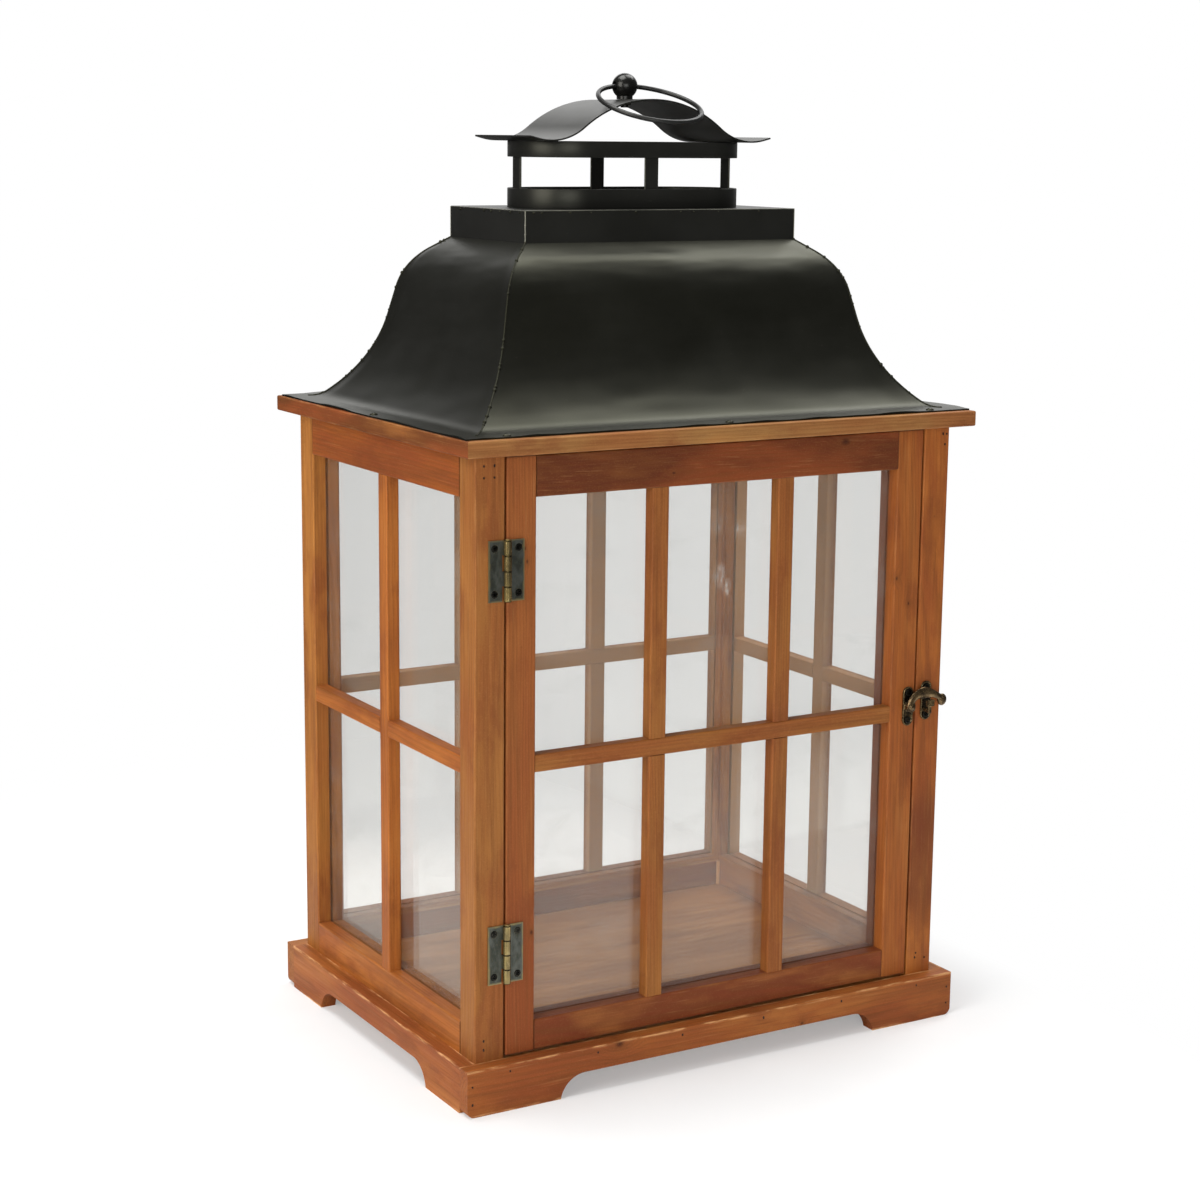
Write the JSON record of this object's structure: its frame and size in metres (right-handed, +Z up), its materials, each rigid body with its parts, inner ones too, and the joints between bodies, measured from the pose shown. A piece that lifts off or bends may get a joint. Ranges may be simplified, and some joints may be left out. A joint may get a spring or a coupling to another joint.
{
  "type": "floor lantern",
  "caption": "Free-standing wooden candle lantern: glazed walls, hinged door with swing latch, bracket-foot plinth, curved black metal roof with vented cupola, ball knob and carrying ring.",
  "frame": {"origin": "bottom centre of the lantern, on the floor, midway between the ends of the cornice and between its front and back", "axes": "+Z up, -Y out of the front through the door, -X towards the hinge side, +X towards the latch side"},
  "size_m": [0.372, 0.279, 0.6278],
  "materials": {
    "post_wood": "satin stained softwood, upright grain",
    "rail_wood": "satin stained softwood, level grain, redder",
    "bar_wood": "satin stained softwood glazing bars",
    "bead_wood": "satin stained softwood beads",
    "door_wood": "satin stained softwood, upright grain",
    "plinth_wood": "satin stained softwood, level grain",
    "cornice_wood": "satin stained softwood, level grain",
    "floor_wood": "satin brown stained board",
    "glass": "clear, polished",
    "roof_metal": "satin black paint on sheet steel",
    "ring_metal": "satin black paint on steel wire",
    "leaf_bronze": "antique bronze",
    "pin_brass": "aged brass",
    "latch_bronze": "antique bronze",
    "screw_steel": "dark bronzed steel",
    "roof_screw_steel": "satin black",
    "brad_steel": "dull, stained over"
  },
  "bodies": {
    "cabinet": {"plinth_front": "plinth_wood", "plinth_back": "plinth_wood", "plinth_left": "plinth_wood", "plinth_right": "plinth_wood", "floor_board": "floor_wood", "post_front_left": "post_wood", "post_front_right": "post_wood", "post_back_left": "post_wood", "post_back_right": "post_wood", "left_top_rail": "rail_wood", "left_bottom_rail": "rail_wood", "right_top_rail": "rail_wood", "right_bottom_rail": "rail_wood", "back_top_rail": "rail_wood", "back_bottom_rail": "rail_wood", "left_bars": "bar_wood", "right_bars": "bar_wood", "back_bars": "bar_wood", "left_glass": "glass", "right_glass": "glass", "back_glass": "glass", "left_beads": "bead_wood", "right_beads": "bead_wood", "back_beads": "bead_wood", "cornice_front": "cornice_wood", "cornice_back": "cornice_wood", "cornice_left": "cornice_wood", "cornice_right": "cornice_wood", "roof_front": "roof_metal", "roof_back": "roof_metal", "roof_left": "roof_metal", "roof_right": "roof_metal", "roof_screws": "roof_screw_steel", "neck_box": "roof_metal", "cupola_lower_ring": "roof_metal", "cupola_upper_ring": "roof_metal", "cupola_posts": "roof_metal", "cap": "roof_metal", "knob": "roof_metal", "knob_nut": "roof_screw_steel", "upper_hinge_post_leaf": "leaf_bronze", "lower_hinge_post_leaf": "leaf_bronze", "hinge_pins": "pin_brass", "post_screws": "screw_steel", "strike_plate": "latch_bronze", "brad_nails": "brad_steel"},
    "door": {"door_hinge_stile": "door_wood", "door_latch_stile": "door_wood", "door_top_rail": "door_wood", "door_bottom_rail": "door_wood", "door_bars": "bar_wood", "door_glass": "glass", "door_beads": "bead_wood", "upper_hinge_door_leaf": "leaf_bronze", "lower_hinge_door_leaf": "leaf_bronze", "door_screws": "screw_steel", "latch_plate": "latch_bronze", "latch_rivet": "latch_bronze"},
    "latch": {"latch_arm": "latch_bronze"},
    "ring": {"carrying_ring": "ring_metal"}
  },
  "joints": [
    {"name": "door_swing", "type": "hinge", "parent": "cabinet", "child": "door", "pos_m": [-0.15438, -0.1296, 0.2], "axis": [0, 0, -1], "range_deg": [0, 170]},
    {"name": "latch_swing", "type": "hinge", "parent": "door", "child": "latch", "pos_m": [0.148, -0.131, 0.2185], "axis": [0, -1, 0], "range_deg": [-22, 150]},
    {"name": "ring_swing", "type": "hinge", "parent": "cabinet", "child": "ring", "pos_m": [0, 0, 0.6196], "axis": [-1, 0, 0], "range_deg": [0, 140]}
  ]
}
